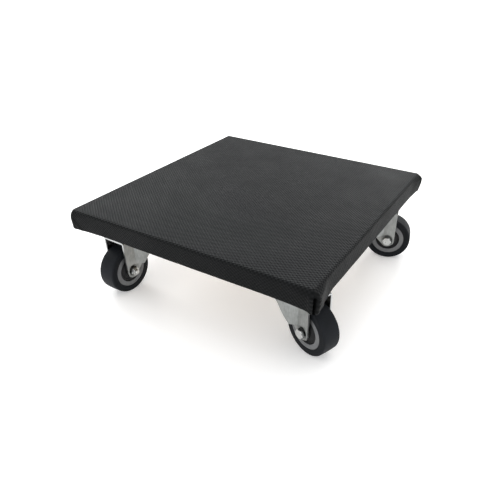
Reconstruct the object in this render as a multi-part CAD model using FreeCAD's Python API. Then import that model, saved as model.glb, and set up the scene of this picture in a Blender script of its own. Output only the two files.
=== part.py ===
"""Furniture dolly: a square board in a wrapped anti-slip cover on four swivel casters.

Frame: millimetres, +Z up, origin on the floor under the centre of the deck, X and Y along the
deck's sides. Each caster is modelled once in its own frame (origin on the floor under the swivel
axis, +X the way the wheel trails, +Y along the axle) and then turned and moved to its corner.
Every separate piece is written as parts/NODE.step.
"""
import FreeCAD
import Part
import math
import os

V = FreeCAD.Vector

# ---- Driving dimensions -------------------------------------------------------------------------
DECK_SIDE = 400.0          # outside of the cover
DECK_TOP = 137.5           # floor to the load surface
COVER = 2.0                # thickness of the anti-slip cover
BOARD = 24.5               # thickness of the plywood board
HEM_WIDTH = 18.0           # how far the cover turns in under the board
COVER_EDGE_RADIUS = 3.0
BOARD_CORNER_RADIUS = 8.0
CORNER_EAR = 3.0           # how far the folded cover stands out at the corners
EAR_START = 50.0           # from the deck's corner, where a side begins to swell
EAR_SWELL = 47.5           # along each side

PIVOT_X = 144.0            # swivel axes from the deck's centre
PIVOT_Y = 134.0
# corner name: (side along X, side along Y, the direction that its wheel trails in, degrees)
CASTERS = {
    "front_left": (-1, -1, -91.5),
    "front_right": (1, -1, -21.0),
    "rear_right": (1, 1, 14.0),
    "rear_left": (-1, 1, 172.0),
}

WHEEL_RADIUS = 37.5
WHEEL_WIDTH = 28.0
TRAIL = 34.5               # swivel axis to axle
RIM_RADIUS = 27.6          # tyre seat on the hub
RIM_INNER = 20.0           # inside of the hub's rim, which the dust caps fill
RIM_INSET = 0.4            # face of the rim below the tyre's side
KEY = 1.8                  # ridge round the rim that keys the tyre
KEY_FOOT = 3.0
KEY_TOP = 2.0
BOSS_WALL = 3.0
WEB = 5.0
RIBS = 8
RIB = 1.6
RIB_HEIGHT = 17.0
TYRE_SHOULDER = 2.4
TYRE_CROWN = 0.25

CAP_BORE = 6.6

SHEET = 2.5                # pressed steel of the fork and the mounting plate
PLATE_X = 68.0
PLATE_Y = 92.0
PLATE_CORNER_RADIUS = 8.0
SLOT_X = 48.0              # slot spacing
SLOT_Y = 72.0
SLOT_WIDTH = 8.6
SLOT_TRAVEL = 3.6          # slot length beyond its width

DISH_RADIUS = 24.5         # outside of the plate's pressed dish
DISH_DEPTH = 12.0
DISH_BEND = 1.5
CROWN_DROP = 20.0          # top of the mounting plate to top of the fork crown
HEAD_RADIUS = 33.0         # round head of the fork
LEG_OUTER = 20.5           # outer face of a fork leg from the wheel's middle plane
LEG_FRONT = 46.0           # upright edge of the legs, on the wheel's side
LEG_BEND = 28.0            # where the flat part of a leg starts to flare to the head
LEG_END_RADIUS = 12.5      # rounded end of a leg
LEG_END_X = 33.5           # centre of the rounded end
LEG_HEEL_X = 15.5          # rear tip of the leg's pressed seat
FORK_BEND = 1.0            # inner bend radius between crown and legs
SKIRT = 15.0               # turned-down rim of the fork head
POCKET_DEPTH = 2.3         # how far the axle seat is pressed inwards
POCKET_RADIUS = 9.0        # arch of the pressed seat
POCKET_RISE = 2.0          # its centre above the axle

UPPER_BALL = 6.35
UPPER_RACE = 19.5          # radius of the upper ball circle
UPPER_BALLS = 18
LOWER_BALL = 4.76
LOWER_RACE = 12.5
LOWER_BALLS = 14
RACE_GAP = 4.0             # fork crown to the lower race cup
CUP_RADIUS = 16.5
CUP_SHEET = 2.0
CUP_GAP = 0.8              # rim of the cup to the fork crown
KINGPIN_RADIUS = 4.9
KINGPIN_CLEARANCE = 0.08
RIVET_HEAD = 4.0
RIVET_HEAD_RADIUS = 9.0
RIVET_TAIL = 3.2
RIVET_TAIL_RADIUS = 7.8

AXLE_RADIUS = 4.0          # M8
AXLE_HOLE_GAP = 0.15
HEX_FLATS = 13.0
BOLT_HEAD = 7.0
NUT_HEX = 6.2
NUT_COLLAR = 1.8
NUT_COLLAR_RADIUS = 5.9
BOLT_END = 2.3             # bolt past the nut

BEARING_BORE = 4.0
BEARING_RADIUS = 11.0
BEARING_WIDTH = 7.0
BEARING_FACE = 13.0        # outer faces of the bearings from the wheel's middle plane
BEARING_BALL = 3.97
BEARING_BALLS = 7
BEARING_PITCH = 7.8        # radius of the bearing's ball circle
OUTER_RING = 9.55          # inside of a bearing's outer ring
INNER_RING = 6.05          # outside of its inner ring
SHIELD = 0.4
SHIELD_GAP = 0.3
SPACER_RADIUS = 6.0

SCREW_RADIUS = 3.0
SCREW_TIP = 0.4
SCREW_LENGTH = 22.0
SCREW_HEAD_FLATS = 10.0
SCREW_HEAD = 4.0
WASHER_RADIUS = 7.5
WASHER_HOLE = 3.2
WASHER = 1.5

STAPLE_PITCH = 34.0
STAPLE_WIDTH = 11.0
STAPLE_WIRE = 0.9
STAPLE_LEG = 9.0
STAPLE_INSET = 10.0        # staple from the deck's side
STAPLE_MARGIN = 30.0       # deck's corner to the first staple, at least

TOUCH = 0.03               # gap kept between curved faces that meet
PAST = 1.0                 # how far a cutting shape runs past the face that it cuts

# ---- Sizes that follow --------------------------------------------------------------------------
BOARD_SIDE = DECK_SIDE - 2 * COVER
BOARD_TOP = DECK_TOP - COVER
BOARD_UNDER = BOARD_TOP - BOARD
HEM_UNDER = BOARD_UNDER - COVER
PLATE_TOP = BOARD_UNDER
PLATE_UNDER = PLATE_TOP - SHEET
DISH_FLOOR = PLATE_TOP - DISH_DEPTH - SHEET
CROWN_TOP = PLATE_TOP - CROWN_DROP
CROWN_UNDER = CROWN_TOP - SHEET
LEG_INNER = LEG_OUTER - SHEET
SEAT_OUTER = LEG_OUTER - POCKET_DEPTH
SEAT_INNER = LEG_INNER - POCKET_DEPTH
CUP_TOP = CROWN_UNDER - RACE_GAP
UPPER_BALL_Z = (DISH_FLOOR + CROWN_TOP) / 2
LOWER_BALL_Z = (CROWN_UNDER + CUP_TOP) / 2
AXLE_Z = WHEEL_RADIUS


# ---- Helpers ------------------------------------------------------------------------------------
def edge_line(a, b):
    return Part.LineSegment(V(*a), V(*b)).toShape()


def edge_arc(a, b, c):
    """An arc from a through b to c."""
    return Part.Arc(V(*a), V(*b), V(*c)).toShape()


def prism(edges, direction):
    return Part.Face(Part.Wire(edges)).extrude(V(*direction))


def cylinder(radius, z_low, z_high, x=0.0, y=0.0):
    return Part.makeCylinder(radius, z_high - z_low, V(x, y, z_low), V(0, 0, 1))


def tube(outer, inner, z_low, z_high):
    return cylinder(outer, z_low, z_high).cut(cylinder(inner, z_low - PAST, z_high + PAST))


def turned(points):
    """A closed profile of (radius, height) points in the XZ plane, turned about the Z axis."""
    corners = [V(r, 0, h) for r, h in points]
    face = Part.Face(Part.makePolygon(corners + [corners[0]]))
    return face.revolve(V(0, 0, 0), V(0, 0, 1), 360)


def on_axle(shape):
    """Moves a shape turned about +Z onto the axle, its +Z along the caster's +Y."""
    shape = shape.copy()
    shape.rotate(V(0, 0, 0), V(1, 0, 0), -90)
    shape.translate(V(TRAIL, 0, AXLE_Z))
    return shape


def rounded_box(size_x, size_y, z_low, z_high, radius, x=0.0, y=0.0):
    box = Part.makeBox(size_x, size_y, z_high - z_low, V(x - size_x / 2, y - size_y / 2, z_low))
    upright = [e for e in box.Edges if abs(e.Vertexes[0].Z - e.Vertexes[-1].Z) > 1e-6]
    return box.makeFillet(radius, upright)


def hexagon(flats, z_low, z_high, chamfered_top=False, chamfered_bottom=False):
    """A hexagonal prism about Z, its chosen ends turned to the usual 30 degree chamfer."""
    corner = flats / 2 / math.cos(math.radians(30))
    angles = [math.radians(60 * k) for k in range(6)]
    points = [V(corner * math.cos(a), corner * math.sin(a), z_low) for a in angles]
    body = Part.Face(Part.makePolygon(points + [points[0]])).extrude(V(0, 0, z_high - z_low))
    drop = corner - flats / 2
    if chamfered_top:
        body = body.common(turned([(0, z_low - PAST), (corner + PAST, z_low - PAST),
                                   (corner + PAST, z_high - drop), (corner, z_high - drop),
                                   (flats / 2, z_high), (0, z_high)]))
    if chamfered_bottom:
        body = body.common(turned([(0, z_low), (flats / 2, z_low), (corner, z_low + drop),
                                   (corner + PAST, z_low + drop), (corner + PAST, z_high + PAST),
                                   (0, z_high + PAST)]))
    return body


def ring_of_balls(diameter, radius, height, count):
    balls = []
    for k in range(count):
        angle = 2 * math.pi * k / count
        centre = V(radius * math.cos(angle), radius * math.sin(angle), height)
        balls.append(Part.makeSphere(diameter / 2, centre))
    return balls


def race_groove(diameter, radius, height):
    return Part.makeTorus(radius, diameter / 2 + TOUCH, V(0, 0, height), V(0, 0, 1))


# ---- Deck ---------------------------------------------------------------------------------------
def pivots():
    return {name: (sx * PIVOT_X, sy * PIVOT_Y) for name, (sx, sy, _) in CASTERS.items()}


def slot_places():
    """Centres of the four slots of every mounting plate."""
    return [(px + i * SLOT_X / 2, py + j * SLOT_Y / 2)
            for px, py in pivots().values() for i in (-1, 1) for j in (-1, 1)]


def deck_board():
    board = rounded_box(BOARD_SIDE, BOARD_SIDE, BOARD_UNDER, BOARD_TOP, BOARD_CORNER_RADIUS)
    depth = SCREW_LENGTH - SHEET - WASHER + PAST
    for x, y in slot_places():
        board = board.cut(cylinder(SCREW_RADIUS + TOUCH, BOARD_UNDER - PAST, BOARD_UNDER + depth, x, y))
    return board.cut(cover_staples())


def eared_outline(z):
    """The cover from above: straight sides that swell smoothly into a rounded ear at each folded corner."""
    half = DECK_SIDE / 2
    start = half - EAR_START
    end_x = start + EAR_SWELL
    end_y = half + CORNER_EAR
    lean = 2 * math.atan(CORNER_EAR / EAR_SWELL)
    radius = (end_y - end_x) / (math.sin(lean) + math.cos(lean))
    centre = end_x + radius * math.sin(lean)
    tip = centre + radius * math.sqrt(0.5)
    middle_x = start + EAR_SWELL / 2
    middle_y = half + CORNER_EAR / (2 * math.cos(lean / 2)) ** 2
    edges = []
    for turn in range(4):
        corner = [edge_line((-start, -half, z), (start, -half, z)),
                  edge_arc((start, -half, z), (middle_x, -middle_y, z), (end_x, -end_y, z)),
                  edge_arc((end_x, -end_y, z), (tip, -tip, z), (end_y, -end_x, z)),
                  edge_arc((end_y, -end_x, z), (middle_y, -middle_x, z), (half, -start, z))]
        for edge in corner:
            edge.rotate(V(0, 0, 0), V(0, 0, 1), 90 * turn)
            edges.append(edge)
    return edges


def anti_slip_cover():
    outer = prism(eared_outline(HEM_UNDER), (0, 0, DECK_TOP - HEM_UNDER))
    rim = [e for e in outer.Edges if all(abs(v.Z - DECK_TOP) < 1e-6 for v in e.Vertexes)]
    outer = outer.makeFillet(COVER_EDGE_RADIUS, rim)
    inside = rounded_box(BOARD_SIDE, BOARD_SIDE, BOARD_UNDER, BOARD_TOP, BOARD_CORNER_RADIUS)
    window = DECK_SIDE - 2 * HEM_WIDTH
    opening = Part.makeBox(window, window, 3 * COVER, V(-window / 2, -window / 2, HEM_UNDER - COVER))
    return outer.cut(inside).cut(opening).cut(cover_staples())


def staple(x, y, along_x):
    """A driven staple: its back lies on the hem and its legs go up into the board."""
    half = STAPLE_WIDTH / 2
    low = HEM_UNDER - STAPLE_WIRE
    piece = Part.makeBox(STAPLE_WIDTH, STAPLE_WIRE, STAPLE_WIRE, V(-half, -STAPLE_WIRE / 2, low))
    for side in (-half, half - STAPLE_WIRE):
        leg = Part.makeBox(STAPLE_WIRE, STAPLE_WIRE, STAPLE_LEG, V(side, -STAPLE_WIRE / 2, low))
        piece = piece.fuse(leg)
    piece = piece.removeSplitter()
    if not along_x:
        piece.rotate(V(0, 0, 0), V(0, 0, 1), 90)
    piece.translate(V(x, y, 0))
    return piece


def cover_staples():
    line = DECK_SIDE / 2 - STAPLE_INSET
    count = int((DECK_SIDE - 2 * STAPLE_MARGIN) // STAPLE_PITCH) + 1
    pieces = []
    for k in range(count):
        along = (k - (count - 1) / 2) * STAPLE_PITCH
        pieces += [staple(along, -line, True), staple(along, line, True),
                   staple(-line, along, False), staple(line, along, False)]
    return Part.makeCompound(pieces)


def plate_screws():
    """Hexagon-headed wood screws driven up through the slots, one group."""
    head_top = PLATE_UNDER - WASHER
    end = head_top + SCREW_LENGTH
    shank_top = end - 2 * SCREW_RADIUS
    screw = hexagon(SCREW_HEAD_FLATS, head_top - SCREW_HEAD, head_top, chamfered_bottom=True)
    screw = screw.fuse(turned([(0, head_top), (SCREW_RADIUS, head_top), (SCREW_RADIUS, shank_top),
                               (SCREW_TIP, end), (0, end)]))
    screw = screw.removeSplitter()
    return Part.makeCompound([screw.translated(V(x, y, 0)) for x, y in slot_places()])


def screw_washers():
    washer = tube(WASHER_RADIUS, WASHER_HOLE, PLATE_UNDER - WASHER, PLATE_UNDER)
    return Part.makeCompound([washer.translated(V(x, y, 0)) for x, y in slot_places()])


# ---- Swivel head, about Z through the pivot -------------------------------------------------------
def mount_plate():
    plate = rounded_box(PLATE_X, PLATE_Y, PLATE_UNDER, PLATE_TOP, PLATE_CORNER_RADIUS)
    outer = DISH_RADIUS
    bend = DISH_BEND
    dish = turned([(0, DISH_FLOOR), (outer - bend, DISH_FLOOR), (outer, DISH_FLOOR + bend),
                   (outer, PLATE_UNDER - bend), (outer + bend, PLATE_UNDER), (outer + bend, PLATE_TOP),
                   (0, PLATE_TOP)])
    inner = DISH_RADIUS - SHEET
    floor = DISH_FLOOR + SHEET
    hollow = turned([(0, floor), (inner - bend, floor), (inner, floor + bend), (inner, PLATE_TOP - bend),
                     (inner + bend, PLATE_TOP), (inner + bend, PLATE_TOP + PAST), (0, PLATE_TOP + PAST)])
    plate = plate.fuse(dish).cut(hollow)
    plate = plate.cut(cylinder(KINGPIN_RADIUS + KINGPIN_CLEARANCE, DISH_FLOOR - PAST, PLATE_TOP))
    plate = plate.cut(race_groove(UPPER_BALL, UPPER_RACE, UPPER_BALL_Z))
    slot = rounded_box(SLOT_WIDTH, SLOT_WIDTH + SLOT_TRAVEL, PLATE_UNDER - PAST, PLATE_TOP + PAST,
                       SLOT_WIDTH / 2 - TOUCH)
    for i in (-1, 1):
        for j in (-1, 1):
            plate = plate.cut(slot.translated(V(i * SLOT_X / 2, j * SLOT_Y / 2, 0)))
    return plate.removeSplitter()


def kingpin():
    """A rivet: its head sits in the plate's dish and its tail is peened under the lower race cup."""
    seat = DISH_FLOOR + SHEET
    cup_under = CUP_TOP - CUP_SHEET
    tail = cup_under - RIVET_TAIL
    top = seat + RIVET_HEAD
    return turned([(0, tail), (RIVET_TAIL_RADIUS - 3, tail), (RIVET_TAIL_RADIUS - 1, tail + 1),
                   (RIVET_TAIL_RADIUS, cup_under), (KINGPIN_RADIUS, cup_under), (KINGPIN_RADIUS, seat),
                   (RIVET_HEAD_RADIUS, seat), (RIVET_HEAD_RADIUS, top - 1.5), (RIVET_HEAD_RADIUS - 1.5, top),
                   (0, top)])


def upper_balls():
    return Part.makeCompound(ring_of_balls(UPPER_BALL, UPPER_RACE, UPPER_BALL_Z, UPPER_BALLS))


def lower_balls():
    return Part.makeCompound(ring_of_balls(LOWER_BALL, LOWER_RACE, LOWER_BALL_Z, LOWER_BALLS))


def lower_race_cup():
    under = CUP_TOP - CUP_SHEET
    wall = CUP_RADIUS - CUP_SHEET
    hole = KINGPIN_RADIUS + KINGPIN_CLEARANCE
    rim = CROWN_UNDER - CUP_GAP
    cup = turned([(hole, under), (CUP_RADIUS - 1.2, under), (CUP_RADIUS, under + 1.2), (CUP_RADIUS, rim),
                  (wall, rim), (wall, CUP_TOP), (hole, CUP_TOP)])
    return cup.cut(race_groove(LOWER_BALL, LOWER_RACE, LOWER_BALL_Z))


# ---- Fork, in the caster's frame ------------------------------------------------------------------
def flare_point(half_width, radius):
    """Where a line from the bend at this half width touches the round head."""
    reach = math.hypot(LEG_BEND, half_width)
    angle = math.atan2(half_width, LEG_BEND) + math.acos(radius / reach)
    return radius * math.cos(angle), radius * math.sin(angle)


def head_outline(half_width, radius, z_low, z_high, front):
    """The fork seen from above: a round head, flared sides and a straight part towards the wheel."""
    x, y = flare_point(half_width, radius)
    edges = [edge_line((front, -half_width, z_low), (front, half_width, z_low)),
             edge_line((front, half_width, z_low), (LEG_BEND, half_width, z_low)),
             edge_line((LEG_BEND, half_width, z_low), (x, y, z_low)),
             edge_arc((x, y, z_low), (-radius, 0, z_low), (x, -y, z_low)),
             edge_line((x, -y, z_low), (LEG_BEND, -half_width, z_low)),
             edge_line((LEG_BEND, -half_width, z_low), (front, -half_width, z_low))]
    return prism(edges, (0, 0, z_high - z_low))


def leg_side():
    """The fork seen from the side, as a solid right across it."""
    wide = 2 * HEAD_RADIUS + 10
    y = -wide / 2
    skirt_z = CROWN_TOP - SKIRT
    top = CROWN_TOP + 1
    back = -HEAD_RADIUS - 5

    def end_point(degrees):
        angle = math.radians(degrees)
        return (LEG_END_X + LEG_END_RADIUS * math.cos(angle), y, AXLE_Z + LEG_END_RADIUS * math.sin(angle))

    heel = (LEG_HEEL_X, y, AXLE_Z + 2.0)
    notch = (LEG_HEEL_X + 1.8, y, AXLE_Z + 8.5)
    knee = (4.0, y, skirt_z - 9.5)
    ease = (-1.3, y, skirt_z - 3.0)
    rim = (-9.0, y, skirt_z)
    edges = [edge_line((LEG_FRONT, y, top), end_point(0)),
             edge_arc(end_point(0), end_point(-52), end_point(-105)),
             edge_line(end_point(-105), heel),
             edge_line(heel, notch),
             edge_line(notch, knee),
             edge_arc(knee, ease, rim),
             edge_line(rim, (back, y, skirt_z)),
             edge_line((back, y, skirt_z), (back, y, top)),
             edge_line((back, y, top), (LEG_FRONT, y, top))]
    return prism(edges, (0, wide, 0))


def seat_outline(radius, y):
    """Outline of the pressed axle seat: an arch over the axle that runs out at the leg's lower edges."""
    centre_z = AXLE_Z + POCKET_RISE

    def arch_point(degrees):
        angle = math.radians(degrees)
        return (TRAIL + radius * math.cos(angle), y, centre_z + radius * math.sin(angle))

    shoulder = arch_point(135)
    rear = (0, y, shoulder[2] - 1.5)
    right = TRAIL + radius
    edges = [edge_line((right, y, 0), arch_point(0)),
             edge_arc(arch_point(0), arch_point(67), shoulder),
             edge_line(shoulder, rear),
             edge_line(rear, (0, y, 0)),
             edge_line((0, y, 0), (right, y, 0))]
    return Part.Wire(edges)


def seat_solid(radius_in, radius_out, y_in, y_out):
    return Part.makeLoft([seat_outline(radius_in, y_in), seat_outline(radius_out, y_out)], True, True)


def bent_top(shape, z, front, radius):
    """Rounds the edges at height z, apart from the open front edge."""
    brim = [e for e in shape.Edges if all(abs(v.Z - z) < 1e-6 for v in e.Vertexes)
            and abs(e.CenterOfMass.x - front) > 1e-3]
    return shape.makeFillet(radius, brim)


def fork():
    shell = head_outline(LEG_OUTER, HEAD_RADIUS, 0, CROWN_TOP, LEG_FRONT)
    shell = bent_top(shell, CROWN_TOP, LEG_FRONT, FORK_BEND + SHEET)
    front = LEG_FRONT + 5 * PAST
    inside = head_outline(LEG_INNER, HEAD_RADIUS - SHEET, -PAST, CROWN_UNDER, front)
    inside = bent_top(inside, CROWN_UNDER, front, FORK_BEND)
    side = leg_side()
    body = shell.cut(inside).common(side)
    reach = HEAD_RADIUS + 2
    for sign in (1, -1):
        # the seat's floor and the step round it, then the hollow pressed into it
        pad = seat_solid(POCKET_RADIUS + 1.8, POCKET_RADIUS + 2.8, sign * SEAT_INNER, sign * reach)
        hollow = seat_solid(POCKET_RADIUS, POCKET_RADIUS + 1.0, sign * SEAT_OUTER, sign * (reach + 1))
        body = body.fuse(pad.common(side).common(shell)).cut(hollow)
    body = body.cut(on_axle(cylinder(AXLE_RADIUS + AXLE_HOLE_GAP, -reach, reach)))
    body = body.cut(cylinder(KINGPIN_RADIUS + KINGPIN_CLEARANCE, CROWN_UNDER - PAST, CROWN_TOP + PAST))
    body = body.cut(race_groove(UPPER_BALL, UPPER_RACE, UPPER_BALL_Z))
    body = body.cut(race_groove(LOWER_BALL, LOWER_RACE, LOWER_BALL_Z))
    return body.removeSplitter()


# ---- Axle and wheel, turned about Z and then put on the axle ---------------------------------------
def axle_bolt():
    head = hexagon(HEX_FLATS, -SEAT_OUTER - BOLT_HEAD, -SEAT_OUTER, chamfered_bottom=True)
    end = SEAT_OUTER + NUT_HEX + NUT_COLLAR + BOLT_END
    radius = AXLE_RADIUS - TOUCH
    shank = turned([(0, -SEAT_OUTER), (radius, -SEAT_OUTER), (radius, end - 0.9), (radius - 0.9, end),
                    (0, end)])
    return on_axle(head.fuse(shank).removeSplitter())


def axle_nut():
    """A self-locking nut: a hexagon with a round collar that holds the locking ring."""
    top = SEAT_OUTER + NUT_HEX
    nut = hexagon(HEX_FLATS, SEAT_OUTER, top, chamfered_top=True)
    radius = NUT_COLLAR_RADIUS
    collar_top = top + NUT_COLLAR
    collar = turned([(0, top - 0.2), (radius, top - 0.2), (radius, collar_top - 0.6),
                     (radius - 0.7, collar_top), (0, collar_top)])
    nut = nut.fuse(collar).cut(cylinder(AXLE_RADIUS, SEAT_OUTER - PAST, collar_top + PAST))
    return on_axle(nut.removeSplitter())


def bearing_half(z_low):
    """Outer ring, balls and shields of one deep-groove bearing."""
    z_high = z_low + BEARING_WIDTH
    middle = (z_low + z_high) / 2
    groove = race_groove(BEARING_BALL, BEARING_PITCH, middle)
    outer = tube(BEARING_RADIUS, OUTER_RING, z_low, z_high).cut(groove)
    balls = ring_of_balls(BEARING_BALL, BEARING_PITCH, middle, BEARING_BALLS)
    shields = [tube(OUTER_RING, INNER_RING + SHIELD_GAP, low, low + SHIELD)
               for low in (z_low + SHIELD / 2, z_high - SHIELD * 1.5)]
    return [outer] + balls + shields


def wheel_bearings():
    parts = bearing_half(-BEARING_FACE) + bearing_half(BEARING_FACE - BEARING_WIDTH)
    return on_axle(Part.makeCompound(parts))


def axle_stack():
    """What the bolt clamps between the legs: spacers, both bearings' inner rings and a middle tube."""
    inner_face = BEARING_FACE - BEARING_WIDTH
    parts = [tube(SPACER_RADIUS, BEARING_BORE, -inner_face, inner_face)]
    for low in (-BEARING_FACE, inner_face):
        ring = tube(INNER_RING, BEARING_BORE, low, low + BEARING_WIDTH)
        parts.append(ring.cut(race_groove(BEARING_BALL, BEARING_PITCH, low + BEARING_WIDTH / 2)))
    parts.append(tube(SPACER_RADIUS, BEARING_BORE, BEARING_FACE, SEAT_INNER))
    parts.append(tube(SPACER_RADIUS, BEARING_BORE, -SEAT_INNER, -BEARING_FACE))
    return on_axle(Part.makeCompound(parts))


def wheel_hub():
    """A plastic hub: rim with a key for the tyre, web with ribs, and a boss that holds both bearings."""
    half = WHEEL_WIDTH / 2 - RIM_INSET
    inner_face = BEARING_FACE - BEARING_WIDTH
    seat = BEARING_RADIUS
    boss_outer = seat + BOSS_WALL
    edge = 0.8
    rim = turned([(RIM_INNER, -half), (RIM_RADIUS - edge, -half), (RIM_RADIUS, -half + edge),
                  (RIM_RADIUS, -KEY_FOOT), (RIM_RADIUS + KEY, -KEY_TOP), (RIM_RADIUS + KEY, KEY_TOP),
                  (RIM_RADIUS, KEY_FOOT), (RIM_RADIUS, half - edge), (RIM_RADIUS - edge, half),
                  (RIM_INNER, half)])
    web = turned([(seat + 2, -WEB / 2), (RIM_INNER + 1, -WEB / 2), (RIM_INNER + 1, WEB / 2),
                  (seat + 2, WEB / 2)])
    boss = turned([(OUTER_RING, -inner_face), (seat, -inner_face), (seat, -BEARING_FACE),
                   (boss_outer, -BEARING_FACE + 1), (boss_outer, BEARING_FACE - 1), (seat, BEARING_FACE),
                   (seat, inner_face), (OUTER_RING, inner_face)])
    hub = rim.fuse(web).fuse(boss)
    for k in range(RIBS):
        rib = Part.makeBox(RIM_INNER - seat - 1, RIB, RIB_HEIGHT, V(seat + 2, -RIB / 2, -RIB_HEIGHT / 2))
        rib.rotate(V(0, 0, 0), V(0, 0, 1), 360 * k / RIBS)
        hub = hub.fuse(rib)
    return on_axle(hub.removeSplitter())


def wheel_tyre():
    """A soft tyre moulded over the rim, slightly crowned, with rounded shoulders."""
    half = WHEEL_WIDTH / 2
    top = WHEEL_RADIUS - TYRE_CROWN
    side = top - TYRE_SHOULDER
    diagonal = TYRE_SHOULDER * (1 - math.sqrt(0.5))

    def p(radius, height):
        return (radius, 0, height)

    edges = [edge_line(p(RIM_RADIUS, -half), p(side, -half)),
             edge_arc(p(side, -half), p(top - diagonal, -half + diagonal), p(top, -half + TYRE_SHOULDER)),
             edge_arc(p(top, -half + TYRE_SHOULDER), p(WHEEL_RADIUS, 0), p(top, half - TYRE_SHOULDER)),
             edge_arc(p(top, half - TYRE_SHOULDER), p(top - diagonal, half - diagonal), p(side, half)),
             edge_line(p(side, half), p(RIM_RADIUS, half)),
             edge_line(p(RIM_RADIUS, half), p(RIM_RADIUS, KEY_FOOT)),
             edge_line(p(RIM_RADIUS, KEY_FOOT), p(RIM_RADIUS + KEY, KEY_TOP)),
             edge_line(p(RIM_RADIUS + KEY, KEY_TOP), p(RIM_RADIUS + KEY, -KEY_TOP)),
             edge_line(p(RIM_RADIUS + KEY, -KEY_TOP), p(RIM_RADIUS, -KEY_FOOT)),
             edge_line(p(RIM_RADIUS, -KEY_FOOT), p(RIM_RADIUS, -half))]
    return on_axle(Part.Face(Part.Wire(edges)).revolve(V(0, 0, 0), V(0, 0, 1), 360))


def dust_caps():
    """Black plastic guards that close the hub on both sides of the wheel."""
    edge = RIM_INNER - TOUCH
    cap = turned([(edge - 1.6, 9.2), (edge, 9.2), (edge, 11.6), (edge - 1.2, 12.2), (edge - 3.4, 11.4),
                  (12.2, 13.9), (10.5, 14.5), (CAP_BORE, 14.5), (CAP_BORE, 13.2), (10.0, 13.2), (14.2, 11.6),
                  (edge - 1.6, 10.2)])
    # the guard stays clear of the hub's boss
    boss = BEARING_RADIUS + BOSS_WALL
    gap = 0.2
    cap = cap.cut(turned([(0, 0), (boss + gap, 0), (boss + gap, BEARING_FACE - 1 + gap),
                          (BEARING_RADIUS + gap, BEARING_FACE + gap), (0, BEARING_FACE + gap)]))
    other = cap.mirror(V(0, 0, 0), V(0, 0, 1))
    return on_axle(Part.makeCompound([cap, other]))


# ---- Assembly -------------------------------------------------------------------------------------
FIXED_TO_DECK = {"mount_plate": mount_plate, "kingpin": kingpin, "upper_balls": upper_balls,
                 "lower_balls": lower_balls, "lower_race_cup": lower_race_cup}
TURNING = {"fork": fork, "axle_bolt": axle_bolt, "axle_nut": axle_nut, "axle_stack": axle_stack,
           "wheel_hub": wheel_hub, "wheel_tyre": wheel_tyre, "wheel_bearings": wheel_bearings,
           "dust_caps": dust_caps}


def placed(shape, corner, turns):
    side_x, side_y, trail_angle = CASTERS[corner]
    shape = shape.copy()
    if turns:
        shape.rotate(V(0, 0, 0), V(0, 0, 1), trail_angle)
    shape.translate(V(side_x * PIVOT_X, side_y * PIVOT_Y, 0))
    return shape


def main():
    os.makedirs("parts", exist_ok=True)
    nodes = {"deck_board": deck_board(), "anti_slip_cover": anti_slip_cover(),
             "cover_staples": cover_staples(), "plate_screws": plate_screws(),
             "screw_washers": screw_washers()}
    for makers, turns in ((FIXED_TO_DECK, False), (TURNING, True)):
        for name, make in makers.items():
            shape = make()
            for corner in CASTERS:
                nodes[f"{corner}_{name}"] = placed(shape, corner, turns)
    for name, shape in nodes.items():
        shape.exportStep(f"parts/{name}.step")
        state = "valid" if shape.isValid() else "INVALID"
        print(name, len(shape.Solids), "solids", state, round(shape.Volume, 1))


main()
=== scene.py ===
import bpy
import math
import random
from collections import namedtuple
from mathutils import Matrix, Vector


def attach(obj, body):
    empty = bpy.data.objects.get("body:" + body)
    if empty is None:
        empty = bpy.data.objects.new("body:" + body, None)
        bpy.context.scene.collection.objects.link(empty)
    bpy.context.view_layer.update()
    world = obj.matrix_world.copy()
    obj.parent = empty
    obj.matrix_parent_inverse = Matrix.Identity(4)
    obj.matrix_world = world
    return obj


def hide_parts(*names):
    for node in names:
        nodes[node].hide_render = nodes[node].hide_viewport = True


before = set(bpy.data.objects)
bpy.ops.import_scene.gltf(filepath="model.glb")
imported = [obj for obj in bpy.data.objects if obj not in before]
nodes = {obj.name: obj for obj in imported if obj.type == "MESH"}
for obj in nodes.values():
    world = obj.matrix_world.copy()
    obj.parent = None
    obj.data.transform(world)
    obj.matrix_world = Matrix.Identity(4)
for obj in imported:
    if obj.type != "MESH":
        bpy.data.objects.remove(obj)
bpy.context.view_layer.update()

MM = 0.001
scene = bpy.context.scene

# ---- Sizes shared with the CAD model, in metres ----
HALF_SIDE = 200.0 * MM
DECK_TOP = 137.5 * MM
HEM_UNDER = 109.0 * MM
BOARD_UNDER = 111.0 * MM
HEM_WIDTH = 18.0 * MM
PIVOT_X = 144.0 * MM
PIVOT_Y = 134.0 * MM
TRAIL = 34.5 * MM
AXLE_Z = 37.5 * MM
CUT_EDGE_X = 11.45 * MM      # front edges of a fork's legs, from the axle
# which side of the middle each caster is on, in X and Y, and the way that it trails, in degrees
CASTERS = {"front_left": (-1, -1, -91.5), "front_right": (1, -1, -21.0),
           "rear_right": (1, 1, 14.0), "rear_left": (-1, 1, 172.0)}

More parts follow.
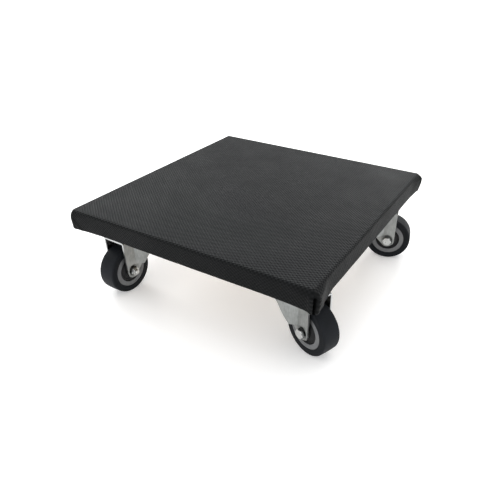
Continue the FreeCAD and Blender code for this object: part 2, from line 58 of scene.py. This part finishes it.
# ---- Colours ----
ZINC_DARK, ZINC_LIGHT = (0.20, 0.207, 0.202), (0.37, 0.384, 0.377)
# painted highlight for the cut front edges of the forks' legs
ZINC_EDGE_HIGHLIGHT = (0.50, 0.51, 0.51, 1)
BOLT_STEEL, BEARING_STEEL, STAPLE_STEEL = (0.60, 0.61, 0.60), (0.66, 0.66, 0.67), (0.62, 0.62, 0.62)
TYRE_CLEAN, TYRE_DUSTY = (0.007, 0.0082, 0.0100), (0.014, 0.0160, 0.0195)
HUB_GREY, HUB_DARK = (0.155, 0.158, 0.162), (0.125, 0.128, 0.132)
CAP_BLACK, CAP_DARK = (0.012, 0.012, 0.013), (0.007, 0.007, 0.008)
WOOD_DARK, WOOD_LIGHT, WOOD_PORE = (0.27, 0.215, 0.155), (0.42, 0.345, 0.26), (0.2, 0.12, 0.06, 1)
MAT_GROUND, MAT_DOTS = (0.0030, 0.0035, 0.0038), (0.0235, 0.0255, 0.0268)
MAT_CLOUD = (0.0108, 0.0118, 0.0125, 1)
# painted shade in the slit at the cover's folded corners
MAT_SLIT_SHADE = (0.0006, 0.0006, 0.0006, 1)


# ---- Node material helpers ----
class Nodes:
    """Builds one node material."""

    def __init__(self, name):
        self.material = bpy.data.materials.new(name)
        self.material.use_nodes = True
        self.tree = self.material.node_tree
        self.tree.nodes.clear()
        self.out = self.tree.nodes.new("ShaderNodeOutputMaterial")

    def add(self, kind, inputs=None, **settings):
        node = self.tree.nodes.new("ShaderNode" + kind)
        for key, value in settings.items():
            setattr(node, key, value)
        for key, value in (inputs or {}).items():
            if isinstance(value, bpy.types.NodeSocket):
                self.tree.links.new(value, node.inputs[key])
            else:
                node.inputs[key].default_value = value
        return node

    def math(self, operation, a, b=0.0, c=0.0):
        return self.add("Math", {0: a, 1: b, 2: c}, operation=operation).outputs[0]

    def noise(self, vector, scale, detail=3.0, roughness=0.55):
        return self.add("TexNoise", {"Vector": vector, "Scale": scale, "Detail": detail,
                                     "Roughness": roughness}).outputs["Fac"]

    def ramp(self, value, low, high, to_low, to_high):
        return self.add("MapRange", {"Value": value, "From Min": low, "From Max": high,
                                     "To Min": to_low, "To Max": to_high}).outputs["Result"]

    def mix(self, factor, first, second):
        """Mixes two colours, each a socket or four numbers."""
        return self.add("Mix", {0: factor, 6: first, 7: second}, data_type="RGBA").outputs[2]

    def colour(self, factor, first, second):
        """Mixes two constant colours, each of three numbers."""
        return self.mix(factor, (*first, 1), (*second, 1))

    def scaled(self, vector, x, y, z):
        return self.add("Mapping", {"Vector": vector, "Scale": (x, y, z)}).outputs[0]

    def dimmed(self, colour, share):
        return self.add("VectorMath", {0: colour, "Scale": share}, operation="SCALE").outputs[0]

    def shaded(self, colour, reach, low):
        """Painted shade: darkens a colour in corners and recesses closer than reach."""
        open_share = self.add("AmbientOcclusion", {"Distance": reach}, samples=8).outputs["AO"]
        return self.dimmed(colour, self.ramp(open_share, 0.35, 0.95, low, 1.0))

    def local(self):
        """Caster coordinates stored on the mesh: X along the trail, Y along the axle, from the axle."""
        return self.add("Attribute", attribute_name="local").outputs["Vector"]

    def bump(self, height, strength, distance):
        return self.add("Bump", {"Height": height, "Strength": strength, "Distance": distance}).outputs[0]

    def finish(self, inputs):
        shader = self.add("BsdfPrincipled", inputs)
        self.tree.links.new(shader.outputs[0], self.out.inputs[0])
        return self.material


def zinc_plate():
    """Zinc-plated pressed steel: cloudy, finely drawn, with a painted highlight on its cut front edges."""
    build = Nodes("zinc_plate")
    where = build.local()
    cloud = build.noise(where, 45, 4, 0.6)
    grain = build.noise(build.scaled(where, 900, 900, 120), 1.0, 2, 0.5)
    speck = build.noise(where, 1400, 2, 0.5)
    mix = build.math("MULTIPLY_ADD", grain, 0.35, build.math("MULTIPLY", cloud, 0.65))
    plate = build.colour(build.ramp(mix, 0.3, 0.7, 0, 1), ZINC_DARK, ZINC_LIGHT)
    axes = build.add("SeparateXYZ", {0: where})
    # painted highlight: the legs' cut front edges are coloured brighter
    cut = build.ramp(axes.outputs[0], CUT_EDGE_X - 0.08 * MM, CUT_EDGE_X, 0, 1)
    colour = build.mix(cut, plate, ZINC_EDGE_HIGHLIGHT)
    height = build.math("MULTIPLY_ADD", speck, 0.5, grain)
    # painted shade in the plate's corners and recesses
    return build.finish({"Base Color": build.shaded(colour, 7 * MM, 0.22), "Metallic": 1.0,
                         "Roughness": build.ramp(mix, 0.25, 0.75, 0.40, 0.26),
                         "Normal": build.bump(height, 0.12, 0.0002)})


def steel(name, base, roughness):
    """Bare bright steel, slightly cloudy."""
    build = Nodes(name)
    where = build.add("TexCoord").outputs["Object"]
    cloud = build.noise(where, 160)
    fine = build.noise(where, 2500, 2)
    colour = build.colour(cloud, tuple(c * 0.78 for c in base), base)
    rough = build.ramp(cloud, 0.3, 0.7, roughness + 0.07, roughness - 0.05)
    # painted shade in the steel's corners and recesses
    return build.finish({"Base Color": build.shaded(colour, 4 * MM, 0.2), "Metallic": 1.0,
                         "Roughness": rough, "Normal": build.bump(fine, 0.1, 0.0002)})


TREAD_FROM, TREAD_TO = 35.2 * MM, 36.8 * MM      # radii between which the tyre's side turns into tread
TREAD_PITCH = 1.1 * MM       # of the fine lines round the tread
RING_PITCH = 1.6 * MM        # of the fine rings on the tyre's sides


def tyre_material():
    """Soft black rubber with fine moulding lines, dusty on the tread."""
    build = Nodes("tyre_rubber")
    where = build.local()
    x, y, z = build.add("SeparateXYZ", {0: where}).outputs
    radius = build.math("SQRT", build.math("MULTIPLY_ADD", x, x, build.math("MULTIPLY", z, z)))
    cloud = build.noise(where, 60, 4, 0.6)
    fine = build.noise(where, 900, 3, 0.6)
    tread = build.ramp(radius, TREAD_FROM, TREAD_TO, 0, 1)
    dust = build.math("MULTIPLY", tread, build.ramp(cloud, 0.35, 0.7, 0.1, 0.7))
    across = build.math("SINE", build.math("MULTIPLY", y, 2 * math.pi / TREAD_PITCH))
    rings = build.math("SINE", build.math("MULTIPLY", radius, 2 * math.pi / RING_PITCH))
    lines = build.math("MULTIPLY_ADD", build.math("MULTIPLY", across, tread), 0.5,
                       build.math("MULTIPLY", rings, 0.35))
    height = build.math("MULTIPLY_ADD", fine, 0.9, lines)
    return build.finish({"Base Color": build.colour(dust, TYRE_CLEAN, TYRE_DUSTY),
                         "Roughness": build.ramp(cloud, 0.3, 0.7, 0.5, 0.66),
                         "Specular IOR Level": 0.1, "Normal": build.bump(height, 0.18, 0.0003)})


def plastic(name, base, dark, roughness):
    """Moulded plastic with a fine matt grain."""
    build = Nodes(name)
    where = build.local()
    cloud = build.noise(where, 120, 3, 0.6)
    fine = build.noise(where, 1200, 2, 0.5)
    colour = build.colour(build.ramp(cloud, 0.3, 0.7, 0, 1), dark, base)
    rough = build.ramp(cloud, 0.3, 0.7, roughness + 0.06, roughness - 0.05)
    # painted shade in the plastic's corners and recesses
    return build.finish({"Base Color": build.shaded(colour, 8 * MM, 0.3), "Roughness": rough,
                         "Specular IOR Level": 0.2, "Normal": build.bump(fine, 0.15, 0.0002)})


def plywood():
    """Plain plywood, its grain along X, with short dark pores."""
    build = Nodes("plywood")
    where = build.add("TexCoord").outputs["Object"]
    warp = build.noise(build.scaled(where, 1.2, 6, 6), 3.0)
    offset = build.add("CombineXYZ", {"Y": build.math("MULTIPLY", warp, 5.0)})
    stretched = build.add("VectorMath", {0: build.scaled(where, 4, 60, 60), 1: offset.outputs[0]},
                          operation="ADD")
    grain = build.noise(stretched.outputs[0], 1.0, 5, 0.65)
    pores = build.noise(build.scaled(where, 60, 2200, 60), 1.0, 2, 0.5)
    wood = build.colour(build.ramp(grain, 0.3, 0.7, 0, 1), WOOD_DARK, WOOD_LIGHT)
    height = build.math("MULTIPLY_ADD", pores, 0.6, grain)
    return build.finish({"Base Color": build.mix(build.ramp(pores, 0.35, 0.5, 0.45, 0.0), wood, WOOD_PORE),
                         "Roughness": 0.68, "Normal": build.bump(height, 0.25, 0.0004)})


WEAVE_PITCH = 3.6 * MM       # between rows of dots
WEAVE_ANGLE = 52.0           # of the two sets of rows, from the sheet's sides


def cover_material():
    """Dark anti-slip mat with a fine embossed diamond pattern, laid out in the flat cloth's coordinates."""
    build = Nodes("anti_slip_mat")
    flat = build.add("UVMap", uv_map="cloth").outputs[0]
    u, v, _ = build.add("SeparateXYZ", {0: flat}).outputs
    turn = 2 * math.pi / WEAVE_PITCH
    along = build.math("MULTIPLY", u, turn * math.cos(math.radians(WEAVE_ANGLE)))
    across = build.math("MULTIPLY", v, turn * math.sin(math.radians(WEAVE_ANGLE)))
    first = build.math("SINE", build.math("ADD", along, across))
    second = build.math("SINE", build.math("SUBTRACT", along, across))
    where = build.add("TexCoord").outputs["Object"]
    cloud = build.noise(where, 14, 4, 0.6)
    fine = build.noise(where, 1800, 2, 0.5)
    # the dots are pulled flatter where the mat is stretched down the sides
    stretched = build.add("Attribute", attribute_name="stretch").outputs["Fac"]
    dots = build.math("MULTIPLY", build.math("ADD", first, second), build.ramp(stretched, 0, 1, 1.0, 0.4))
    weave = build.colour(build.ramp(dots, -0.9, 1.4, 0, 1), MAT_GROUND, MAT_DOTS)
    clouded = build.mix(build.ramp(cloud, 0.35, 0.65, 0.0, 0.2), weave, MAT_CLOUD)
    # painted shade: the sides are coloured darker than the top
    side_shaded = build.dimmed(clouded, build.ramp(stretched, 0, 1, 1.0, 0.45))
    # painted shade: the slit is coloured almost black
    in_slit = build.add("Attribute", attribute_name="fold").outputs["Fac"]
    height = build.math("MULTIPLY_ADD", fine, 0.35, dots)
    return build.finish({"Base Color": build.mix(in_slit, side_shaded, MAT_SLIT_SHADE),
                         "Roughness": build.ramp(cloud, 0.3, 0.7, 0.6, 0.5),
                         "Specular IOR Level": 0.07, "Normal": build.bump(height, 0.8, 0.0005)})


MATERIALS = {
    "zinc": zinc_plate(),
    "bolt": steel("bolt_steel", BOLT_STEEL, 0.3),
    "bearing": steel("bearing_steel", BEARING_STEEL, 0.24),
    "staple": steel("staple_steel", STAPLE_STEEL, 0.34),
    "tyre": tyre_material(),
    "hub": plastic("hub_plastic", HUB_GREY, HUB_DARK, 0.40),
    "cap": plastic("cap_plastic", CAP_BLACK, CAP_DARK, 0.5),
    "board": plywood(),
    "cover": cover_material(),
}
DECK_FINISHES = {"deck_board": "board", "cover_staples": "staple", "plate_screws": "bolt",
                 "screw_washers": "bolt"}
CASTER_FINISHES = {"mount_plate": "zinc", "kingpin": "zinc", "upper_balls": "bearing",
                   "lower_balls": "bearing", "lower_race_cup": "zinc", "fork": "zinc",
                   "axle_bolt": "bolt", "axle_nut": "bolt", "axle_stack": "bearing",
                   "wheel_hub": "hub", "wheel_tyre": "tyre", "wheel_bearings": "bearing",
                   "dust_caps": "cap"}


def dress(node, finish):
    """Gives a CAD piece one of the materials."""
    mesh = nodes[node].data
    mesh.materials.clear()
    mesh.materials.append(MATERIALS[finish])
    for polygon in mesh.polygons:
        polygon.material_index = 0


def store_local(node, corner):
    """Keeps each vertex's place in its caster's own frame for the materials."""
    side_x, side_y, angle = CASTERS[corner]
    back = Matrix.Rotation(math.radians(-angle), 4, "Z")
    pivot = Vector((side_x * PIVOT_X, side_y * PIVOT_Y, AXLE_Z))
    mesh = nodes[node].data
    layer = mesh.attributes.new("local", "FLOAT_VECTOR", "POINT")
    for vertex, item in zip(mesh.vertices, layer.data):
        item.vector = back @ (vertex.co - pivot) - Vector((TRAIL, 0, 0))


for node, finish in DECK_FINISHES.items():
    dress(node, finish)
for corner in CASTERS:
    for part, finish in CASTER_FINISHES.items():
        dress(f"{corner}_{part}", finish)
        store_local(f"{corner}_{part}", corner)


# ---- The cover: one sheet, wrapped over the board and folded at its corners ----
TOP_ROUND = 4.4 * MM
LOW_ROUND = 3.0 * MM
CORNER_ROUND = 5.0 * MM
LEAST_ROUND = 0.4 * MM       # of a corner under the board
FIRST_STEP, STEP_GROWTH, LARGEST_STEP = 0.3 * MM, 1.07, 8 * MM     # between columns, from a corner on
ARC_STEPS = 18
TOP_STEPS, SIDE_STEPS, LOW_STEPS = 8, 30, 6
TOP_INSETS = (60, 30, 18, 12, 8, 6.2, 5.2)       # rows on the top, in millimetres from the edge
HEM_INSETS = (4, 5.5, 7, 9, 11, 15, 17.2)        # rows on the hem under the board
HEM_EDGE_RISE = 0.4 * MM

SLIT_HALF = 1.1 * MM
SLIT_DEPTH = 3.2 * MM
SLIT_TOP = 8.5 * MM          # below the deck's top
SEAM = 0.12                  # the share of the slit's depth that its line has above it
FLAP = 0.9 * MM              # the doubled cloth to the right of a slit
FLAP_START = 6 * MM          # below the deck's top
FLAP_SLANT = 1.05            # how far the flap's hidden diagonal runs along the side for each step down it
# each folded corner, in millimetres: where the slit is along the outline from the corner's middle; how
# far the folded cloth stands out to the left of it, to the right and at the corner, and the share of that
# lost at the hem; how far the hem hangs down to the left, to the right and at the corner
Fold = namedtuple("Fold", "slit left right tip tuck hang_left hang_right hang_tip")
FOLDS = [Fold(0.5, 2.8, 6.2, 2.6, 0.30, 0.2, 3.4, 2.2),
         Fold(5.5, 4.2, 3.6, 2.8, 0.50, 0.4, 0.4, 1.0),
         Fold(-0.9, 3.2, 3.2, 2.2, 0.40, 0.2, 0.4, 1.6),
         Fold(-5.5, 1.8, 2.2, 1.4, 0.10, 0.0, 0.8, 0.8)]
SAGS = (3.4, 2.3, 2.3, 2.3)  # of the hem along each side, in millimetres, from the side at +X
WAVE = 0.16 * MM             # the stretched cloth's unevenness
WAVE_SEED = 7
# ranges down the side, from the deck's top: where a thing starts and where it is complete
PADDED = (0.5 * MM, 9.5 * MM)        # the folded cloth's padding
TUCKED = (13 * MM, 28 * MM)          # its loss towards the hem
SEAMED = (3 * MM, 8 * MM)            # the slit's line above the slit
SLIT_OPEN = (SLIT_TOP - 1.5 * MM, SLIT_TOP + 0.5 * MM)
HANGING = (10 * MM, 28 * MM)         # the hem's hang
# ranges along the outline, from a corner's middle
TURNED = (-5 * MM, 5 * MM)           # from what holds to the left to what holds to the right
EAR = (3 * MM, 42 * MM)              # the folded cloth's end
HANG_START = (2 * MM, 20 * MM)
HANG_END = (38 * MM, 56 * MM)
CALM_REACH = 15 * MM                 # the cloth is even nearer than about this
TIP_REACH = 4.5 * MM
HANG_TIP_REACH = 7 * MM
# ranges under the board
HEM_FADE = (0, 12 * MM)              # from the hem's inner edge, of whatever stands out
STAPLED = (4 * MM, 9 * MM)           # from the side, of the staples' pull


def smooth_step(value, low, high):
    t = min(max((value - low) / (high - low), 0.0), 1.0)
    return t * t * (3 - 2 * t)


def hump(value, reach, power=2):
    """1 at 0, falling off smoothly on both sides."""
    return math.exp(-(value / reach) ** power)


def columns():
    """Places round the outline: (corner, kind, fraction). Dense by the corners, sparse along the sides."""
    found = []
    straight = HALF_SIDE - CORNER_ROUND
    steps = [0.0]
    step = FIRST_STEP
    while steps[-1] < straight:
        steps.append(steps[-1] + step)
        step = min(step * STEP_GROWTH, LARGEST_STEP)
    steps = [s * straight / steps[-1] for s in steps]
    for corner in range(4):
        for s in reversed(steps[1:-1] + [straight]):
            found.append((corner, "before", s))
        for k in range(ARC_STEPS + 1):
            found.append((corner, "arc", k / ARC_STEPS))
        for s in steps[1:-1]:
            found.append((corner, "after", s))
    return found


def outline(column, inset):
    """A point of the rounded square shrunk by inset, its outward normal and its distance along the
    outline from the corner's middle."""
    corner, kind, value = column
    radius = max(CORNER_ROUND - inset, LEAST_ROUND)
    middle = HALF_SIDE - inset - radius
    half_arc = math.pi / 4 * CORNER_ROUND
    turn = Matrix.Rotation(math.radians(90 * corner), 2)
    straight = HALF_SIDE - CORNER_ROUND
    if kind == "arc":
        angle = math.radians(-90 + 90 * value)
        normal = Vector((math.cos(angle), math.sin(angle)))
        point = Vector((middle, -middle)) + radius * normal
        q = (value - 0.5) * 2 * half_arc
    elif kind == "before":
        normal = Vector((0, -1))
        point = Vector((middle * (1 - value / straight), -middle - radius))
        q = -half_arc - value
    else:
        normal = Vector((1, 0))
        point = Vector((middle + radius, -middle * (1 - value / straight)))
        q = half_arc + value
    return turn @ point, turn @ normal, q


def profile():
    """Rows from inside the top out, down the side and in under the board: each one's inset and height, and
    how much its surface faces outward and upward."""
    rows = [(inset * MM, DECK_TOP, 0.0, 1.0) for inset in TOP_INSETS]
    for k in range(TOP_STEPS + 1):
        angle = math.pi / 2 * k / TOP_STEPS
        rows.append((TOP_ROUND * (1 - math.sin(angle)), DECK_TOP - TOP_ROUND * (1 - math.cos(angle)),
                     math.sin(angle), math.cos(angle)))
    high, low = DECK_TOP - TOP_ROUND, HEM_UNDER + LOW_ROUND
    for k in range(1, SIDE_STEPS):
        rows.append((0.0, high + (low - high) * k / SIDE_STEPS, 1.0, 0.0))
    for k in range(LOW_STEPS + 1):
        angle = math.pi / 2 * k / LOW_STEPS
        rows.append((LOW_ROUND * (1 - math.cos(angle)), HEM_UNDER + LOW_ROUND * (1 - math.sin(angle)),
                     math.cos(angle), -math.sin(angle)))
    rows += [(inset * MM, HEM_UNDER, 0.0, -1.0) for inset in HEM_INSETS]
    rows.append((HEM_WIDTH, HEM_UNDER + HEM_EDGE_RISE, -0.7, -0.7))
    rows.append((HEM_WIDTH, BOARD_UNDER, -1.0, 0.0))
    return rows


def distances(rows):
    """How far each row is along the cloth from the first one."""
    found = [0.0]
    for before, row in zip(rows, rows[1:]):
        found.append(found[-1] + math.hypot(row[0] - before[0], row[1] - before[1]))
    return found


def shape(corner, q, row, phases):
    """How far a point of the cover stands out and hangs down, and how deep it is in the slit, from 0 to 1."""
    inset, height, out, _ = row
    down = DECK_TOP - height
    fold = FOLDS[corner]
    past_slit = q - fold.slit * MM
    side = smooth_step(q, *TURNED)
    beside = (fold.left + (fold.right - fold.left) * side) * MM
    hang = (fold.hang_left + (fold.hang_right - fold.hang_left) * side) * MM
    sag = (SAGS[corner - 1] + (SAGS[corner] - SAGS[corner - 1]) * side) * MM

    # gentle unevenness of the stretched cloth
    wave = math.sin(q * 42 + phases[corner][0]) + 0.6 * math.sin(q * 97 + height * 160 + phases[corner][1])
    push = WAVE * wave * out * (1 - hump(q, CALM_REACH))
    # the folded layers pad the corner out
    padding = beside * (1 - smooth_step(abs(q), *EAR)) + fold.tip * MM * hump(q, TIP_REACH)
    push += padding * smooth_step(down, *PADDED) * (1 - fold.tuck * smooth_step(down, *TUCKED))
    push *= smooth_step(HEM_WIDTH - inset, *HEM_FADE)
    in_slit = 0.0
    if out > 0:
        # doubled cloth to the right of the slit, thinner along the hidden diagonal
        edge = (down - FLAP_START) * FLAP_SLANT
        thinner = smooth_step(past_slit, edge - 1.5 * MM, edge + 4 * MM)
        push += FLAP * smooth_step(past_slit, 0, 0.5 * MM) * (1 - thinner) * out
        open_slit = smooth_step(down, *SLIT_OPEN)
        seam = SEAM * smooth_step(down, *SEAMED)
        groove = hump(past_slit, SLIT_HALF, 4)
        push -= (SLIT_DEPTH + padding * 0.6) * groove * max(open_slit, seam) * out
        in_slit = groove * open_slit

    wide = smooth_step(abs(q), *HANG_START) * (1 - smooth_step(abs(q), *HANG_END))
    layers = 1.0 if past_slit > 0 else 0.8
    drop = (hang * wide + fold.hang_tip * MM * hump(q, HANG_TIP_REACH)) * layers + sag
    # the staples hold the hem up against the board
    drop *= smooth_step(down, *HANGING) * (1 - smooth_step(inset, *STAPLED))
    return push, drop, in_slit


def flat_place(point, corner, q, reach):
    """Flat cloth coordinates: the side that a point belongs to carries straight on from the top."""
    own = Matrix.Rotation(math.radians(-90 * corner), 2) @ point
    flat = Vector((own.x, -reach)) if q <= 0 else Vector((reach, own.y))
    return Matrix.Rotation(math.radians(90 * corner), 2) @ flat


def build_cover():
    rng = random.Random(WAVE_SEED)
    phases = [(rng.uniform(0, 2 * math.pi), rng.uniform(0, 2 * math.pi)) for _ in FOLDS]
    ring = columns()
    rows = profile()
    verts, uvs, folds, stretches = [], [], [], []
    for row, distance in zip(rows, distances(rows)):
        inset, height, out, _ = row
        reach = HALF_SIDE - rows[0][0] + distance
        for column in ring:
            corner = column[0]
            point, normal, q = outline(column, inset)
            push, drop, in_slit = shape(corner, q, row, phases)
            verts.append((point.x + normal.x * push, point.y + normal.y * push, height - drop))
            folds.append(in_slit)
            stretches.append(abs(out))
            uvs.append(flat_place(point, corner, q, reach))
    count = len(ring)
    faces = [list(range(count))]
    for k in range(len(rows) - 1):
        for c in range(count):
            d = (c + 1) % count
            faces.append([k * count + c, (k + 1) * count + c, (k + 1) * count + d, k * count + d])
    mesh = bpy.data.meshes.new("anti_slip_cover_cloth")
    mesh.from_pydata(verts, [], faces)
    layer = mesh.uv_layers.new(name="cloth")
    for loop in mesh.loops:
        layer.data[loop.index].uv = uvs[loop.vertex_index]
    for name, values in (("fold", folds), ("stretch", stretches)):
        mesh.attributes.new(name, "FLOAT", "POINT").data.foreach_set("value", values)
    mesh.materials.append(MATERIALS["cover"])
    mesh.polygons.foreach_set("use_smooth", [True] * len(mesh.polygons))
    mesh.update()
    cover = bpy.data.objects.new("cover_cloth", mesh)
    scene.collection.objects.link(cover)
    return cover


cover = build_cover()
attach(cover, "deck")
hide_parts("anti_slip_cover")


# ---- Stage, lights and camera ----
FLOOR_REACH = 12.0
# each area light: its name, place, target, size and power in watts
LIGHTS = [("overhead", (0.0, 0.5, 2.2), (0, 0, 0), (2.4, 2.4), 12),
          ("back_left_softbox", (-2.3, 0.9, 1.2), (0, 0, 0.1), (1.4, 0.8), 36),
          ("back_softbox", (-0.2, 2.6, 1.1), (0, 0, 0.1), (0.8, 0.8), 30),
          ("right_softbox", (1.9, -0.1, 1.0), (0, 0, 0.1), (1.0, 1.0), 0.5),
          ("front_softbox", (0.2, -2.0, 0.5), (0, 0, 0.05), (1.0, 0.5), 5)]
CAMERA_PLACE = (0.382, -0.5924, 0.4519)
CAMERA_DIP = 33.471          # degrees below the horizon
CAMERA_TURN = 30.784         # degrees about the vertical
CAMERA_LENS = 34.5
CAMERA_SHIFT = (-0.0482, 0.0384)


def area_light(name, place, target, size, power):
    data = bpy.data.lights.new(name, "AREA")
    data.shape = "RECTANGLE"
    data.size, data.size_y = size
    data.energy = power
    lamp = bpy.data.objects.new(name, data)
    lamp.location = place
    lamp.rotation_euler = (Vector(target) - Vector(place)).to_track_quat("-Z", "Y").to_euler()
    scene.collection.objects.link(lamp)


def studio():
    mesh = bpy.data.meshes.new("floor")
    corners = [(-1, -1), (1, -1), (1, 1), (-1, 1)]
    mesh.from_pydata([(x * FLOOR_REACH, y * FLOOR_REACH, 0) for x, y in corners], [], [(0, 1, 2, 3)])
    floor = bpy.data.objects.new("floor", mesh)
    scene.collection.objects.link(floor)
    build = Nodes("floor")
    mesh.materials.append(build.finish({"Base Color": (0.96, 0.96, 0.96, 1), "Roughness": 0.9,
                                        "Specular IOR Level": 0.1, "Emission Strength": 0.22,
                                        "Emission Color": (1, 1, 1, 1)}))
    world = bpy.data.worlds.new("studio")
    world.use_nodes = True
    background = world.node_tree.nodes["Background"]
    background.inputs[0].default_value = (1, 1, 1, 1)
    background.inputs[1].default_value = 1.0
    scene.world = world
    for light in LIGHTS:
        area_light(*light)


def photo_camera():
    data = bpy.data.cameras.new("camera")
    data.sensor_width = 36.0
    data.lens = CAMERA_LENS
    data.shift_x, data.shift_y = CAMERA_SHIFT
    data.clip_start = 0.01
    data.clip_end = 50
    camera = bpy.data.objects.new("camera", data)
    camera.location = CAMERA_PLACE
    camera.rotation_euler = (math.radians(90 - CAMERA_DIP), 0, math.radians(CAMERA_TURN))
    scene.collection.objects.link(camera)
    scene.camera = camera


studio()
photo_camera()
scene.view_settings.view_transform = "Standard"
